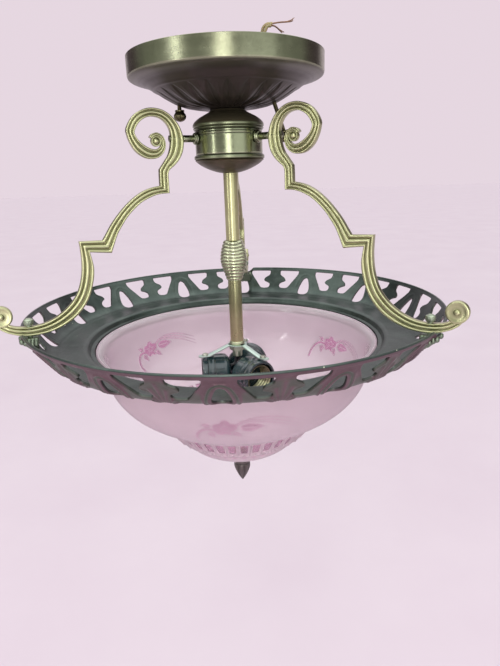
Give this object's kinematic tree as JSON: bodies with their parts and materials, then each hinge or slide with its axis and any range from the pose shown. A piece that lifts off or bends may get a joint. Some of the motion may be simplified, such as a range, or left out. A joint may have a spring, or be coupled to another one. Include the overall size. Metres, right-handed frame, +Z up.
{
  "type": "ceiling lamp",
  "caption": "Semi-flush ceiling lamp: round canopy, brass stem, scrolled arms, pierced gallery ring, lampholder cluster and lift-out frosted glass bowl with a finial.",
  "frame": {"origin": "centre of the crossbar's top face, on the ceiling plane and the lamp's axis", "axes": "+Z up into the ceiling, the lamp hangs along -Z; +Y away from the viewer, with the rear arm at 92 degrees; +X to the right as seen from the front"},
  "size_m": [0.4104, 0.4342, 0.4546],
  "materials": {
    "canopy_brass": "satin antique brass",
    "drum_brass": "polished antique brass",
    "dark_brass": "dark antique brass",
    "arm_gilt": "light olive gilt, dark in the grooves",
    "ring_bronze": "dark bronze with green highlights",
    "screw_green": "pale green patina",
    "tube_brass": "polished warm brass",
    "pale_brass": "pale polished brass",
    "plain_brass": "plain brass",
    "plain_steel": "plain plated steel",
    "zinc": "zinc plate",
    "glass_frosted": "frosted glass with clear motifs",
    "holder_black": "moulded, glossy",
    "wire_black": "sheathed wire",
    "lead_sheath": "clear yellowed sheath",
    "copper_strand": "tarnished copper strands",
    "washer_fibre": "soft fibre",
    "block_white": "moulded, plain"
  },
  "bodies": {
    "lamp_frame": {"canopy": "canopy_brass", "ceiling_bracket": "plain_steel", "canopy_stud_left": "drum_brass", "canopy_stud_right": "drum_brass", "stud_nuts": "plain_steel", "canopy_nipple": "plain_brass", "canopy_washer": "plain_steel", "canopy_locknut": "plain_steel", "hub_cap": "dark_brass", "hub_shell": "drum_brass", "hub_base": "dark_brass", "hub_core": "plain_steel", "arm_studs": "drum_brass", "stud_collars": "drum_brass", "arm_left": "arm_gilt", "arm_right": "arm_gilt", "arm_rear": "arm_gilt", "stem_tube": "tube_brass", "stem_flex": "wire_black", "spindle_bead": "pale_brass", "stem_collar": "pale_brass", "gallery_ring": "ring_bronze", "cluster_nipple": "plain_brass", "cluster_bracket": "zinc", "cluster_nut": "plain_steel", "lampholder_left": "holder_black", "lampholder_front": "holder_black", "lampholder_rear": "holder_black", "holder_inserts": "holder_black", "screw_shells": "plain_brass", "centre_contacts": "plain_brass", "holder_screws": "plain_steel", "holder_wires": "wire_black", "terminal_block": "block_white", "terminal_screws": "plain_brass", "earth_screw": "plain_brass", "supply_lead_a": "lead_sheath", "supply_lead_b": "lead_sheath", "lead_ends": "copper_strand"},
    "thumb_nut_left": {"thumb_nut_left": "dark_brass"},
    "thumb_nut_right": {"thumb_nut_right": "dark_brass"},
    "ring_screw_left": {"ring_screw_left": "screw_green"},
    "ring_screw_right": {"ring_screw_right": "screw_green"},
    "ring_screw_rear": {"ring_screw_rear": "screw_green"},
    "bowl": {"glass_bowl": "glass_frosted", "finial_stud": "plain_brass", "finial_nut": "plain_steel", "finial_washers": "washer_fibre"},
    "finial": {"finial": "dark_brass"}
  },
  "joints": [
    {"name": "thumb_nut_left_turn", "type": "hinge", "parent": "lamp_frame", "child": "thumb_nut_left", "pos_m": [-0.045, 0, -0.05], "axis": [0, 0, 1], "continuous": true},
    {"name": "thumb_nut_right_turn", "type": "hinge", "parent": "lamp_frame", "child": "thumb_nut_right", "pos_m": [0.044, 0, -0.045], "axis": [-0.3256, 0, 0.9455], "continuous": true},
    {"name": "ring_screw_left_turn", "type": "hinge", "parent": "lamp_frame", "child": "ring_screw_left", "pos_m": [-0.17061, -0.0985, -0.23], "axis": [0, 0, 1], "continuous": true},
    {"name": "ring_screw_right_turn", "type": "hinge", "parent": "lamp_frame", "child": "ring_screw_right", "pos_m": [0.17061, -0.0985, -0.23], "axis": [0, 0, 1], "continuous": true},
    {"name": "ring_screw_rear_turn", "type": "hinge", "parent": "lamp_frame", "child": "ring_screw_rear", "pos_m": [-0.00688, 0.19688, -0.23], "axis": [0, 0, 1], "continuous": true},
    {"name": "bowl_lift", "type": "slide", "parent": "lamp_frame", "child": "bowl", "axis": [0, 0, 1], "range_m": [0, 0.045]},
    {"name": "finial_turn", "type": "hinge", "parent": "bowl", "child": "finial", "pos_m": [0, 0, -0.42], "axis": [0, 0, 1], "continuous": true}
  ]
}
